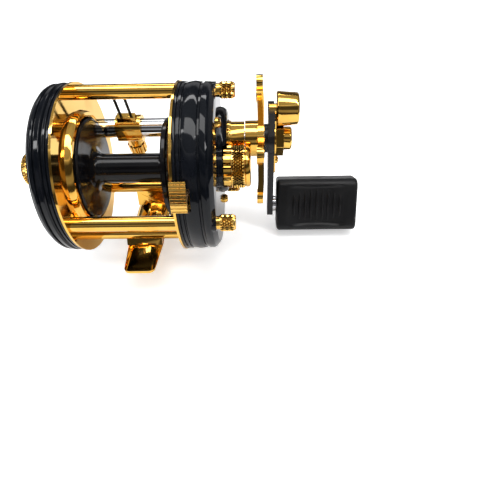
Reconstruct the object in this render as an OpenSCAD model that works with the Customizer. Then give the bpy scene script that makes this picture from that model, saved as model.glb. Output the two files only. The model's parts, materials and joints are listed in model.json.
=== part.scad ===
// Round baitcasting reel: two plates held apart by pillars, a spool between them, a level wind
// in front, a gear train in the right side cover and a handle with a star drag.
// X is the spool's axis, with the handle at +X, the line leaves towards +Y, and Z is up.
// The origin is the middle of the foot's underside.

/* [Frame] */
// Radius of the two round frame plates
plate_r = 30.5; // [29.5:0.1:34]
// Distance between the inner faces of the frame plates
frame_w = 36; // [34:0.5:42]
// Thickness of the frame plates at their visible rim
rim_t = 0.8; // [0.6:0.1:1.5]
// Thickness of the step that centres each side cover
step_t = 1.8; // [1.2:0.1:2]
// Height of the spool's axis over the underside of the foot
axis_h = 29.5; // [29.5:0.1:34]
// Radius of the pillars and of the foot bar
pillar_r = 2.6; // [2.2:0.1:2.8]
// Height of the collar round each spool opening
lip_h = 2.3; // [1.5:0.1:2.5]

/* [Foot] */
// Length of the foot, toe to toe
foot_l = 53; // [46:0.5:60]
// Width of the foot at the middle
foot_w = 14; // [12:0.5:16]
// Width of the foot at its toes
toe_w = 11.8; // [10:0.2:12]

/* [Spool] */
// Radius of the spool's flanges
flange_r = 18.1; // [15:0.1:18.6]
// Thickness of the spool's flanges
flange_t = 2.1; // [1.5:0.1:2.4]
// Width of the line space between the flanges
line_w = 27.4; // [24:0.2:28]
// Radius of the spool's arbor
arbor_r = 5.4; // [4.5:0.1:8]
// Radius of the spool shaft through the spool
shaft_r = 1.65; // [1.3:0.05:1.9]

/* [Level wind] */
// Radius of the slotted guide tube
guide_tube_r = 3.75; // [3.5:0.05:4]
// Distance of the guide tube in front of the spool's axis
guide_y = 22.5; // [22:0.1:23]
// Height of the guide tube over the spool's axis
guide_z = 4; // [2:0.5:6]
// Distance between the two line wires
wire_gap = 4; // [3:0.1:5]

/* [Side covers] */
// Depth of the right cover, from its frame plate to its outer face
right_depth = 11.7; // [11.2:0.1:14]
// Depth of the left cover's rim
left_depth = 7.6; // [7:0.1:9]
// Height of the dome on the left cover
dome_h = 8; // [7:0.1:9]
// Wall of both covers
cover_t = 1.3; // [1.1:0.1:1.5]

/* [Handle] */
// Distance from the handle shaft to the handle knob
crank_r = 32.5; // [30:0.5:40]
// Length of the handle knob
knob_l = 34.6; // [28:0.2:40]
// Height of the handle knob's flat face
knob_h = 22.5; // [18:0.5:24]
// Thickness of the handle knob
knob_t = 13.5; // [11:0.5:15]
// Radius over the tips of the star wheel
star_r = 25.5; // [20:0.5:27]

/* [Hidden] */
$fn = 96;

run_gap = 0.05;        // radial running clearance of a shaft in its bore
side_gap = 0.3;        // space between pieces that move past each other
eps = 0.02;

half_w = frame_w / 2;
rim_x = half_w + rim_t;            // outer side of the visible rim
step_x = rim_x + step_t;           // outer side of the centring step
step_r = plate_r - 1.9;            // the side covers fit over this radius
opening_r = flange_r + 0.5;        // the spool lifts out through this hole
pillar_pcd_r = plate_r - 3.5;
pillar_at = [339.3, 99.3, 219.3];  // top, rear and front pillars, from up towards the rear
bar_at = 161.2;
bar_pcd_r = pillar_pcd_r - 0.7;
screw_r = 1.3;                     // shank of the thumb screws

// spool, along X
left_in = -(line_w / 2 + 1.2);     // inner face of the left flange
right_in = left_in + line_w;       // inner face of the right flange
left_out = left_in - flange_t;
right_out = right_in + flange_t;

// gears: module and teeth
cog_m = 0.8;
cog_n = 15;
idler_n = 16;
worm_n = 12;
drive_m = 0.5;
pinion_n = 11;
main_n = 50;
drive_gap = drive_m * (pinion_n + main_n) / 2;   // from the spool's axis to the handle shaft
shaft_a = 10.8;                                  // angle of the handle shaft over the level
shaft_y = drive_gap * cos(shaft_a);
shaft_z = drive_gap * sin(shaft_a);

// the idler gear stands between the spool cog and the worm cog
cog_l = 3.2;
cog_x = right_out;
worm_d = norm([guide_y, guide_z]);
worm_a = atan2(guide_z, guide_y);
idler_d = cog_m * (cog_n + idler_n) / 2;
idler_e = cog_m * (idler_n + worm_n) / 2;
idler_p = (idler_d * idler_d - idler_e * idler_e + worm_d * worm_d) / (2 * worm_d);
idler_a = worm_a - acos(idler_p / idler_d);
idler_y = idler_d * cos(idler_a);
idler_z = idler_d * sin(idler_a);
idler_x0 = cog_x + 0.5;
worm_cog_x0 = step_x + 0.4;
worm_cog_l = 2.6;
gear_tip_r = cog_m * (idler_n / 2 + 1);
worm_r = guide_tube_r - 1.2;

// right side, along X
hub_r = 3.75;
hub_x1 = cog_x + cog_l + 5.3;
plate_x0 = worm_cog_x0 + worm_cog_l + 0.3;       // gear plate
plate_t = 1;
plate_x1 = plate_x0 + plate_t;
main_x0 = plate_x1 + 1.4;
main_l = 1.8;
main_x1 = main_x0 + main_l;
face_x = rim_x + right_depth;                    // outer corner of the right cover
crown_x = face_x + 0.8;                          // outer face of the right cover
crown_r = plate_r - 2.8;
boss_x = crown_x + 2.9;                          // raised part of the right cover
boss_y = 13.6;
boss_z = -1.3;
boss_r = 16.5;
right_in_x = face_x - cover_t;                    // inner side of the right cover

// cast control cap, on the spool's axis
cap_x0 = face_x + 2.3;
cap_r = 8;
cap_l = 10.1;
cap_hub_r = 5;
bearing_r = 4;
bearing_l = 2.6;
shaft_end_r = 1.125;
shaft_end_x = hub_x1 + 10.9;

// handle shaft, along X
sleeve_x0 = face_x + 2;
sleeve_in_x = sleeve_x0 - 1.9;                   // inner end of the sleeve
sleeve_l = 8;
collar_x0 = sleeve_x0 + sleeve_l;
collar_l = 4.8;
star_x0 = collar_x0 + collar_l + 0.3;
star_t = 2.4;
washer_x0 = star_x0 + star_t;
arm_x0 = washer_x0 + 1.6;
arm_t = 2.4;
arm_x1 = arm_x0 + arm_t;
lock_t = 0.6;
nut_x0 = arm_x1 + lock_t;
drive_r = 3;

// left side, along -X
left_rim_x = rim_x + left_depth;
dome_r = plate_r - 3.3;
dome_x = left_rim_x + 1;
apex_x = dome_x + dome_h;

// line guide
guide_x = -5.7;
guide_body_w = 10;
pawl_lean = 21;

clutch_a = 72.7;       // middle of the clutch button, from up towards the rear
clutch_turn = 7;
lever_x1 = plate_x0 - side_gap;
lever_x0 = lever_x1 - 1.2;

function ring_y(r, a) = -r * sin(a);
function ring_z(r, a) = r * cos(a);
// turn of the second gear so that its teeth meet the gaps of the first
function meshed(a, first, n1, n2) = a + 180 - (180 - n1 * (a - first)) / n2;

module up() translate([0, 0, axis_h]) children();
// local Z becomes X, and local X and Y become Y and Z
module on_x() rotate([90, 0, 90]) children();
module turned(pts) on_x() rotate_extrude() polygon(pts);
module rod(x0, x1, r, y = 0, z = 0) translate([x0, y, z]) on_x() cylinder(r = r, h = x1 - x0);
module pipe(x0, x1, r, r_in, y = 0, z = 0)
    difference() {
        rod(x0, x1, r, y, z);
        rod(x0 - 1, x1 + 1, r_in, y, z);
    }
module flip() mirror([1, 0, 0]) children();
module gear_flat(m, n, turn = 0) {
    pitch = 360 / n;
    root = m * (n / 2 - 1.25);
    tip = m * (n / 2 + 0.85);
    mid = m * n / 2;
    polygon([for (i = [0 : n - 1]) for (p = [[root, -0.29], [mid, -0.2], [tip, -0.08],
        [tip, 0.08], [mid, 0.2], [root, 0.29]])
        let (a = turn + (i + p[1]) * pitch) [p[0] * cos(a), p[0] * sin(a)]]);
}
module gear(x0, l, m, n, y = 0, z = 0, turn = 0)
    translate([x0, y, z]) on_x() linear_extrude(l) gear_flat(m, n, turn);
// a round head with flutes along X
module fluted(x0, l, r, n, depth, y = 0, z = 0)
    translate([x0, y, z]) on_x() difference() {
        cylinder(r = r, h = l);
        for (i = [0 : n - 1]) rotate(i * 360 / n)
            translate([r + depth * 0.35, 0, -1]) cylinder(r = depth, h = l + 2, $fn = 16);
    }

gold = [0.83, 0.6, 0.2];
black = [0.05, 0.05, 0.06];
steel = [0.78, 0.78, 0.8];
ivory = [0.93, 0.92, 0.86];
brass = [0.8, 0.66, 0.36];

// ---- frame ----
module plate_blank() {
    difference() {
        union() {
            rod(half_w, rim_x, plate_r);
            rod(half_w, step_x, step_r - run_gap);
            turned([[opening_r, half_w + eps], [opening_r, half_w - lip_h + 0.3],
                [opening_r + 0.3, half_w - lip_h], [opening_r + 1.7, half_w - lip_h],
                [opening_r + 2.1, half_w - lip_h + 0.5], [opening_r + 2.5, half_w],
                [opening_r + 2.5, half_w + eps]]);
        }
        rod(half_w - lip_h - 1, step_x + 1, opening_r);
        rod(half_w - lip_h - 1, step_x + 1, guide_tube_r, guide_y, guide_z);
    }
}
module frame_left_plate() color(gold) up() difference() {
    flip() plate_blank();
    for (a = pillar_at) rod(-step_x - 1, -half_w + 1, screw_r + 0.3,
        ring_y(pillar_pcd_r, a), ring_z(pillar_pcd_r, a));
    rod(-step_x - 1, -half_w + 1, screw_r + 0.3, ring_y(bar_pcd_r, bar_at), ring_z(bar_pcd_r, bar_at));
}
module frame_right_plate() color(gold) up() difference() {
    plate_blank();
    for (a = pillar_at) rod(half_w - 1, step_x + 1, screw_r + run_gap,
        ring_y(pillar_pcd_r, a), ring_z(pillar_pcd_r, a));
    rod(half_w - 1, step_x + 1, screw_r + 0.3, ring_y(bar_pcd_r, bar_at), ring_z(bar_pcd_r, bar_at));
    rod(half_w - lip_h - 1, step_x + 1, gear_tip_r + side_gap, idler_y, idler_z);
}
// a pillar bored at the right end for its thumb screw, with a rivet tenon at the left
module pillar(a) {
    y = ring_y(pillar_pcd_r, a);
    z = ring_z(pillar_pcd_r, a);
    difference() {
        union() {
            rod(-half_w, half_w, pillar_r, y, z);
            rod(-step_x, -half_w + eps, screw_r + 0.3, y, z);
        }
        rod(half_w - 9, half_w + 1, screw_r + run_gap, y, z);
        if (a == pillar_at[2]) foot_screw_holes(y, z);
    }
}
module foot_screw_holes(y, z) for (s = [-1, 1]) translate([s * foot_screw_x, y, z - pillar_r - 1])
    cylinder(r = foot_screw_r, h = 1 + foot_screw_in);
module top_pillar() color(gold) up() pillar(pillar_at[0]);
module rear_pillar() color(gold) up() pillar(pillar_at[1]);
module front_pillar() color(gold) up() pillar(pillar_at[2]);
module foot_bar() color(gold) up() {
    difference() {
        rod(-half_w, half_w, pillar_r, ring_y(bar_pcd_r, bar_at), ring_z(bar_pcd_r, bar_at));
        foot_screw_holes(ring_y(bar_pcd_r, bar_at), ring_z(bar_pcd_r, bar_at));
    }
    for (s = [-1, 1]) translate([s * (half_w + step_x) / 2, 0, 0])
        rod(-(step_x - half_w) / 2 - eps, (step_x - half_w) / 2 + eps, screw_r + 0.3,
            ring_y(bar_pcd_r, bar_at), ring_z(bar_pcd_r, bar_at));
}

// ---- foot ----
bar_y = ring_y(bar_pcd_r, bar_at);
bar_z = axis_h + ring_z(bar_pcd_r, bar_at);
front_y = ring_y(pillar_pcd_r, pillar_at[2]);
front_z = axis_h + ring_z(pillar_pcd_r, pillar_at[2]);
foot_t = bar_z - pillar_r;      // the saddle's top meets the underside of the foot bar
foot_screw_r = 0.9;
foot_screw_x = 3.6;
foot_screw_in = 1.6;            // how far the foot screws go into the bars
module reel_foot() color(gold) difference() {
    union() {
        intersection() {
            foot_plan(foot_t);
            foot_side();
            // crowned across
            translate([0, foot_l, foot_t - 14]) rotate([90, 0, 0]) cylinder(r = 14, h = 2 * foot_l);
        }
        foot_seat_block(front_y, front_z);
        foot_seat_block(bar_y, bar_z);
    }
    rod(-foot_w, foot_w, pillar_r, bar_y, bar_z);
    rod(-foot_w, foot_w, pillar_r, front_y, front_z);
    for (s = [-1, 1], y = [bar_y, front_y]) {
        translate([s * foot_screw_x, y, -1]) cylinder(r = foot_screw_r, h = 20);
        translate([s * foot_screw_x, y, -1]) cylinder(r = foot_screw_r * 1.9, h = 1.9);
    }
}
module foot_plan(h) {
    c = 2.4;
    linear_extrude(h) polygon(concat(
        [for (q = [0 : 3]) let (sx = q == 0 || q == 3 ? 1 : -1, sy = q < 2 ? 1 : -1)
            for (k = [0 : 6]) let (a = q * 90 + k * 15)
            [sx * (toe_w / 2 - c) + c * cos(a), sy * (foot_l / 2 - c) + c * sin(a)]]));
    linear_extrude(h) polygon([[foot_w / 2, -11], [foot_w / 2, front_y + 2],
        [toe_w / 2, foot_l / 2 - c], [-toe_w / 2, foot_l / 2 - c], [-foot_w / 2, front_y + 2],
        [-foot_w / 2, -11], [-toe_w / 2, -foot_l / 2 + c], [toe_w / 2, -foot_l / 2 + c]]);
}
module foot_side() translate([-foot_w, 0, 0]) on_x() linear_extrude(2 * foot_w)
    polygon([[-foot_l / 2 - 1, 0], [foot_l / 2 + 1, 0], [foot_l / 2 + 1, 1.1],
        [front_y + 3, foot_t], [bar_y - 3, foot_t], [-foot_l / 2 - 1, 1.1]]);
// a pad that rises to a bar and is hollowed to fit it
module foot_seat_block(y, z) translate([-foot_w / 2, 0, 0]) on_x() linear_extrude(foot_w)
    polygon([[y - pillar_r - 1.2, foot_t - 0.9], [y - pillar_r, z - pillar_r * 0.35],
        [y + pillar_r, z - pillar_r * 0.35], [y + pillar_r + 1.2, foot_t - 0.9]]);
module foot_screws() color(gold) for (s = [-1, 1], y = [bar_y, front_y]) {
    top = (y == bar_y ? bar_z : front_z) - pillar_r + foot_screw_in;
    translate([s * foot_screw_x, y, 0.15]) cylinder(r = foot_screw_r * 1.9, h = 0.75);
    translate([s * foot_screw_x, y, 0.9 - eps]) cylinder(r = foot_screw_r, h = top - 0.9 + eps);
}

// ---- left cover ----
// ridges and grooves along the rim of a cover, from its frame plate outwards
function rim_profile(x0, x1, r) = [[r - 0.1, x0], [r, x0 + 0.3], [r, x0 + 0.9], [r - 0.6, x0 + 1.1],
    [r - 0.6, x0 + 1.3], [r - 0.05, x0 + 1.5], [r - 0.05, x0 + 2.2], [r - 0.7, x0 + 2.4],
    [r - 0.7, x0 + 2.7], [r - 0.25, x0 + 3], [r + 0.1, x0 + 0.45 * (x1 - x0)],
    [r - 0.2, x0 + 0.64 * (x1 - x0)], [r - 0.8, x0 + 0.66 * (x1 - x0)],
    [r - 0.8, x0 + 0.71 * (x1 - x0)], [r - 0.2, x0 + 0.74 * (x1 - x0)],
    [r - 0.2, x1 - 1.4], [r - 0.6, x1 - 0.6], [r - 1.4, x1]];
function dome_at(r, x, h, rr) = x + h * (1 - pow(r / rr, 2));
module left_cover() color(black) up() difference() {
    union() {
        flip() turned(concat([[step_r, rim_x]], rim_profile(rim_x, left_rim_x, plate_r - 0.3),
            [for (i = [0 : 12]) let (r = dome_r * (1 - i / 12)) [r, dome_at(r, dome_x, dome_h, dome_r)]],
            [for (i = [12 : -1 : 0]) let (r = (dome_r - 1.2) * (1 - i / 12))
                [r, dome_at(r, dome_x, dome_h, dome_r) - cover_t]],
            [[step_r, dome_x - 0.6]]));
        // bearing hub
        rod(-apex_x + 0.6, -hub_in, 6);
        // seat of the cap
        rod(-apex_x + 0.02, -apex_x + 1, 6.4);
    }
    rod(-bearing_x1, -hub_in + 1, bearing_r);
    rod(-apex_x - 1, -bearing_x1 + 1, 3.05);
}
hub_in = step_x + 3.4;          // inner end of the bearing hub
bearing_x1 = hub_in + bearing_l + 0.4;
shaft_left_x = left_out - 21.7;
shaft_left_r = 1.325;
cap_left_x = apex_x + 5.6;
module left_cap() color(gold) up() difference() {
    union() {
        fluted(-cap_left_x + 0.5, cap_left_x - 0.5 - apex_x, 6.1, 40, 0.35);
        rod(-cap_left_x, -cap_left_x + 0.52, 5.5);
        rod(-apex_x - eps, -bearing_x1 - 0.2, 3);
    }
    rod(shaft_left_x - 0.4, -bearing_x1 + 1, shaft_left_r + 0.3);
}
module left_bearing() color(steel) up() pipe(-bearing_x1, -bearing_x1 + bearing_l, bearing_r,
    shaft_left_r + run_gap);
drum_r = 12.6;
module brake_drum() color(steel) up() flip() turned([[6, hub_in + 0.6], [drum_r + 0.8, hub_in + 0.6],
    [drum_r + 0.8, -left_out + 0.7], [drum_r, -left_out + 0.7], [drum_r, hub_in - 0.2], [6, hub_in - 0.2]]);

// ---- right cover ----
module right_cover() color(black) up() difference() {
    union() {
        turned(concat([[0, right_in_x], [step_r, right_in_x], [step_r, rim_x]],
            rim_profile(rim_x, face_x, plate_r - 0.3), [[crown_r, crown_x], [0, crown_x]]));
        intersection() {
            translate([0, boss_y, boss_z]) turned([[0, right_in_x], [boss_r, right_in_x],
                [boss_r, crown_x + 0.6], [boss_r - 0.3, crown_x + 1.6], [boss_r - 0.9, boss_x - 0.5],
                [boss_r - 2, boss_x], [0, boss_x]]);
            rod(right_in_x, boss_x + 1, plate_r - 2);
        }
        // seats of the thumb screws
        for (a = pillar_at) rod(right_in_x, crown_x, 2.9,
            ring_y(pillar_pcd_r, a), ring_z(pillar_pcd_r, a));
        // hub and collar of the cast control cap
        rod(right_in_x - 0.2, cap_x0 + 5.6, cap_hub_r);
        rod(face_x, cap_x0 - 0.25, cap_r - 0.6);
        rod(ratchet_x0 - 0.1, boss_x - 1, 0.8, stop_y, stop_z);
    }
    // hollow under the raised part
    intersection() {
        rod(right_in_x - 1, sleeve_x0 - 1.1, boss_r - 1.5, boss_y, boss_z);
        difference() {
            rod(right_in_x - 1, boss_x + 1, plate_r - 3.4);
            rod(right_in_x - 2, boss_x + 2, cap_hub_r + 0.9);
            // post of the reverse stop
            rod(ratchet_x0 + 1.15, boss_x, 1.6, stop_y, stop_z);
        }
    }
    // bearing seat and shaft hole
    rod(right_in_x - 2, bearing_right_x + bearing_l, bearing_r);
    rod(right_in_x, cap_x0 + 8, 2.2);
    // recess round the cap
    difference() {
        rod(cap_x0 - 0.25, cap_x0 + 9, cap_r + 0.5);
        rod(cap_x0 - 1, cap_x0 + 10, cap_hub_r);
    }
    // handle shaft
    rod(sleeve_in_x, boss_x + 3, 5.5, shaft_y, shaft_z);
    rod(sleeve_x0, boss_x + 3, 7.5, shaft_y, shaft_z);
    for (a = pillar_at) rod(right_in_x - 1, crown_x + 1, screw_r + run_gap,
        ring_y(pillar_pcd_r, a), ring_z(pillar_pcd_r, a));
    for (p = cover_screw_at) rod(right_in_x - 1, crown_x + 1, cover_screw_r, p[0], p[1]);
    // window for the clutch button's stem
    arc_block(lever_x0 - 0.2, lever_x1 + 0.2, step_r - 2, plate_r + 2, clutch_a - 4, clutch_a + clutch_turn + 4);
}
bearing_right_x = face_x - 0.6;
cover_screw_at = [[-1.7, 19], [8.5, -21.5]];
cover_screw_r = 0.9;
module cover_screws() color(gold) up() for (p = cover_screw_at) {
    difference() {
        translate([0, p[0], p[1]]) turned([[0, crown_x], [1.8, crown_x], [1.8, crown_x + 0.7],
            [1.3, crown_x + 1.5], [0, crown_x + 1.7]]);
        translate([crown_x + 1.4, p[0], p[1]]) rotate([25, 0, 0]) cube([1.2, 4, 0.5], center = true);
    }
    rod(plate_x1 + 0.3, crown_x + eps, cover_screw_r, p[0], p[1]);
}
module right_bearing() color(steel) up()
    pipe(bearing_right_x, bearing_right_x + bearing_l, bearing_r, shaft_end_r + run_gap);
module gear_plate() color(brass) up() difference() {
    union() {
        rod(plate_x0, plate_x1, step_r);
        for (p = cover_screw_at) rod(plate_x1 - eps, right_in_x, 2, p[0], p[1]);
        // bearing of the handle shaft
        rod(plate_x0, main_x0 - 0.15, 3.2, shaft_y, shaft_z);
    }
    rod(plate_x0 - 1, plate_x1 + 1, hub_r + 1.2);
    rod(plate_x0 - 1, main_x0 + 1, 2 + run_gap, shaft_y, shaft_z);
    rod(plate_x0 - 1, plate_x1 + 1, 1.2, idler_y, idler_z);
    rod(plate_x0 - 1, plate_x1 + 1, worm_end_r + run_gap, guide_y, guide_z);
    for (a = pillar_at) rod(plate_x0 - 1, plate_x1 + 1, screw_r + run_gap,
        ring_y(pillar_pcd_r, a), ring_z(pillar_pcd_r, a));
    for (p = cover_screw_at) rod(plate_x1 + 0.3, right_in_x + 1, cover_screw_r, p[0], p[1]);
    for (p = plate_screw_at) rod(plate_x0 - 1, plate_x1 + 1, 0.8, p[0], p[1]);
}
plate_screw_at = [for (a = [30, 140, 245]) [ring_y(26, a), ring_z(26, a)]];
module gear_plate_screws() color(steel) up() for (p = plate_screw_at) {
    rod(plate_x1, plate_x1 + 0.8, 1.5, p[0], p[1]);
    rod(step_x, plate_x1 + eps, 0.8, p[0], p[1]);
}
// knurled screw through the right cover into a pillar
module thumb_screw(a) {
    y = ring_y(pillar_pcd_r, a);
    z = ring_z(pillar_pcd_r, a);
    fluted(crown_x + 1.1, 4.9, 2.95, 20, 0.3, y, z);
    rod(crown_x, crown_x + 1.1 + eps, 2.3, y, z);
    rod(crown_x + 6 - eps, crown_x + 6.5, 2.5, y, z);
    rod(half_w - 8, crown_x + eps, screw_r, y, z);
}
module top_thumb_screw() color(gold) up() thumb_screw(pillar_at[0]);
module rear_thumb_screw() color(gold) up() thumb_screw(pillar_at[1]);
module front_thumb_screw() color(gold) up() thumb_screw(pillar_at[2]);
module cast_control_cap() color(gold) up() difference() {
    union() {
        fluted(cap_x0, 3.1, cap_r - 0.4, 10, 1.2);
        fluted(cap_x0 + 3.1 - eps, 4.9, cap_r, 48, 0.3);
        turned([[0, cap_x0 + 8 - eps], [cap_r - 0.5, cap_x0 + 8 - eps], [cap_r - 0.5, cap_x0 + 9.3],
            [cap_r - 1.3, cap_x0 + cap_l], [0, cap_x0 + cap_l]]);
    }
    rod(cap_x0 - 1, cap_x0 + 8, cap_hub_r + run_gap);
}
module cast_control_pad() color(ivory) up() rod(shaft_end_x + 0.15, shaft_end_x + 1.2, 2);
module cast_control_spring() color(steel) up() pipe(shaft_end_x + 1.2, cap_x0 + 8, 1.9, 1.3);

// ---- spool ----
module spool() color(black) up() {
    f = 3.5;
    turned(concat([[shaft_r, left_out], [flange_r - 0.4, left_out], [flange_r, left_out + 0.5],
        [flange_r, left_in - 0.5], [flange_r - 0.5, left_in], [arbor_r + f, left_in]],
        [for (a = [15 : 15 : 90]) [arbor_r + f - f * sin(a), left_in + f - f * cos(a)]],
        [for (a = [90 : -15 : 15]) [arbor_r + f - f * sin(a), right_in - f + f * cos(a)]],
        [[arbor_r + f, right_in], [flange_r - 0.5, right_in], [flange_r, right_in + 0.5],
        [flange_r, right_out - 0.5], [flange_r - 0.4, right_out], [shaft_r, right_out]]));
}
module spool_shaft() color(steel) up() difference() {
    union() {
        turned([[0, shaft_left_x], [shaft_left_r - 0.3, shaft_left_x],
            [shaft_left_r, shaft_left_x + 0.4], [shaft_left_r, -hub_in + 0.9], [shaft_r, -hub_in + 0.9],
            [shaft_r, hub_x1 - 0.3], [shaft_end_r, hub_x1], [shaft_end_r, shaft_end_x - 0.4],
            [0.6, shaft_end_x], [0, shaft_end_x]]);
        rod(left_out - 2, left_out, 2.1);
    }
    translate([pin_x, 0, 0]) cylinder(r = pin_r, h = 10, center = true);
}
pin_x = hub_x1 + 0.9;
pin_r = 0.45;
pin_l = 4.4;
module cross_pin() color(steel) up() translate([pin_x, 0, 0]) cylinder(r = pin_r, h = pin_l, center = true);
module spool_cog() color(ivory) up() difference() {
    union() {
        gear(cog_x, cog_l, cog_m, cog_n);
        fluted(cog_x + cog_l - eps, hub_x1 - cog_x - cog_l - 0.2, hub_r, 12, 0.5);
    }
    rod(cog_x - 1, hub_x1 + 1, shaft_r);
}
block_r = 8.9;           // inner end of the brake blocks
block_l = 3;
module brake_pins() color(steel) up() {
    pipe(left_out - 1.5, left_out, 3.1, 2.1);
    for (s = [-1, 1]) translate([left_out - 0.75, 0, s * 2.9]) rotate([s > 0 ? 0 : 180, 0, 0])
        cylinder(r = 0.4, h = block_r + block_l - 2.9 - 0.3);
}
module brake_block() translate([left_out - 0.75 - 0.05, 0, block_r]) difference() {
    translate([-0.65, -1.2, 0]) cube([1.3, 2.4, block_l]);
    translate([0.05, 0, -1]) cylinder(r = 0.4 + run_gap, h = block_l + 2);
}
module brake_block_a() color(black) up() brake_block();
module brake_block_b() color(black) up() rotate([180, 0, 0]) brake_block();

// ---- clutch ----
pinion_x0 = hub_x1 + 0.5;
yoke_x0 = plate_x1 + 0.35;
yoke_t = 0.7;
groove_x0 = yoke_x0 - 0.15;
groove_x1 = yoke_x0 + yoke_t + 0.15;
groove_r = 2;
pinion_x1 = groove_x1 + 2.3;
// the slotted end takes the cross pin until the yoke draws the pinion away from it
module pinion() color(brass) up() difference() {
    union() {
        rod(pinion_x0, groove_x0, 2.9);
        rod(groove_x0 - eps, groove_x1 + eps, groove_r);
        gear(groove_x1, pinion_x1 - groove_x1, drive_m, pinion_n);
    }
    rod(pinion_x0 - 1, pinion_x1 + 1, shaft_end_r + run_gap);
    translate([pinion_x0 - 1, -pin_r - 0.1, -4]) cube([pin_x + pin_r + 1.15 - pinion_x0, 2 * pin_r + 0.2, 8]);
}
module yoke() color(steel) up() difference() {
    translate([yoke_x0, -8, -9]) cube([yoke_t, 8.6, 18]);
    rod(plate_x1, plate_x1 + 2, groove_r + 0.15);
    translate([plate_x1, 0, -groove_r - 0.15]) cube([3, 3, 2 * groove_r + 0.3]);
}
// knurled button on the rim, carried by a ring that turns round the spool's axis
module arc_block(x0, x1, r0, r1, a0, a1) translate([x0, 0, 0]) on_x()
    rotate_extrude(angle = a1 - a0, start = 90 + a0) translate([r0, 0]) square([r1 - r0, x1 - x0]);
module clutch_button() color(gold) up() {
    difference() {
        arc_block(half_w - 0.1, half_w + 5.1, plate_r + 0.35, plate_r + 2.2, clutch_a - 9, clutch_a + 9);
        for (i = [-4 : 4]) rotate([clutch_a + i * 2, 0, 0])
            translate([half_w - 1, -0.3, plate_r + 1.9]) cube([8, 0.6, 2]);
    }
    arc_block(lever_x0, half_w + 5.1, step_r - 4, plate_r + 0.36, clutch_a - 3, clutch_a + 3);
}
// a half ring round the spool's hub, with an arm out to the button
module clutch_lever() color(steel) up() {
    arc_block(lever_x0, lever_x1, hub_r + 1.5, hub_r + 4, clutch_a - 80, clutch_a + 80);
    arc_block(lever_x0, lever_x1, hub_r + 3.9, step_r - 4, clutch_a - 4, clutch_a + 4);
}

// ---- level wind ----
module guide_tube() color(steel) up() difference() {
    rod(-step_x, step_x, guide_tube_r, guide_y, guide_z);
    rod(-step_x + 1, step_x + 1, worm_r + 0.25, guide_y, guide_z);
    // slot for the pawl
    translate([-half_w + 3, guide_y, guide_z]) rotate([pawl_lean, 0, 0])
        translate([0, -1.4, -guide_tube_r - 1]) cube([frame_w - 6, 2.8, guide_tube_r + 1]);
}
worm_end_r = 1.2;
module worm_shaft() color(steel) up() difference() {
    union() {
        rod(-step_x + 1.1, step_x, worm_r, guide_y, guide_z);
        rod(step_x - eps, plate_x1 + 0.4, worm_end_r, guide_y, guide_z);
    }
    for (i = [-4 : 4], s = [-1, 1]) translate([i * 3, guide_y, guide_z]) rotate([0, s * 18, 0])
        pipe(-0.45, 0.45, worm_r + 2, worm_r - 0.6);
}
module worm_cog() color(ivory) up() difference() {
    gear(worm_cog_x0, worm_cog_l, cog_m, worm_n, guide_y, guide_z,
        meshed(worm_to, idler_turn, idler_n, worm_n));
    rod(worm_cog_x0 - 1, worm_cog_x0 + worm_cog_l + 1, worm_end_r, guide_y, guide_z);
}
idler_turn = meshed(idler_a, 0, cog_n, idler_n);
worm_to = atan2(guide_z - idler_z, guide_y - idler_y);
module idler_gear() color(ivory) up() difference() {
    gear(idler_x0, worm_cog_x0 + worm_cog_l - idler_x0, cog_m, idler_n, idler_y, idler_z, idler_turn);
    rod(idler_x0 - 1, plate_x0 + 1, 1.2 + run_gap, idler_y, idler_z);
}
module idler_axle() color(steel) up() {
    rod(idler_x0 - 0.2, plate_x1, 1.2, idler_y, idler_z);
}
module along_pawl() translate([guide_x, guide_y, guide_z]) rotate([pawl_lean, 0, 0]) children();
module line_guide() color(gold) up() difference() {
    union() {
        pipe(guide_x - guide_body_w / 2, guide_x + guide_body_w / 2, guide_tube_r + 1.5,
            guide_tube_r + run_gap, guide_y, guide_z);
        along_pawl() translate([0, 0, -8.2]) cylinder(r = 3.2, h = 4);
        // socket of the wires
        along_pawl() translate([-3.6, -1.3, guide_tube_r + 0.6]) cube([7.2, 2.6, 3]);
    }
    rod(guide_x - 6, guide_x + 6, guide_tube_r + run_gap, guide_y, guide_z);
    // hollowed to pass the spool's flanges
    rod(guide_x - 6, guide_x + 6, flange_r + 0.35);
    along_pawl() translate([0, 0, -9]) cylinder(r = 1.35, h = 9);
    for (s = [-1, 1]) along_pawl() translate([s * wire_gap / 2, 0, guide_tube_r + 1.8])
        cylinder(r = wire_r, h = 4);
}
wire_r = 0.55;
wire_l = 12;
module line_wires() color(black) up() along_pawl() {
    for (s = [-1, 1]) translate([s * wire_gap / 2, 0, guide_tube_r + 1.8]) cylinder(r = wire_r, h = wire_l);
    translate([0, 0, guide_tube_r + 1.8 + wire_l]) rotate([90, 0, 0])
        rotate_extrude(angle = 180) translate([wire_gap / 2, 0]) circle(r = wire_r);
}
module pawl() color(steel) up() along_pawl() {
    translate([0, 0, -8.6]) cylinder(r = 1.3, h = 8.6 - worm_r - 0.2);
}
module pawl_cap() color(gold) up() along_pawl() {
    translate([0, 0, -13.6]) difference() {
        cylinder(r = 3.7, h = 5);
        for (i = [0 : 9]) rotate(i * 36) translate([4.1, 0, -1]) cylinder(r = 0.8, h = 7, $fn = 16);
    }
    translate([0, 0, -14.6]) cylinder(r = 3, h = 1 + eps);
}

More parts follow.
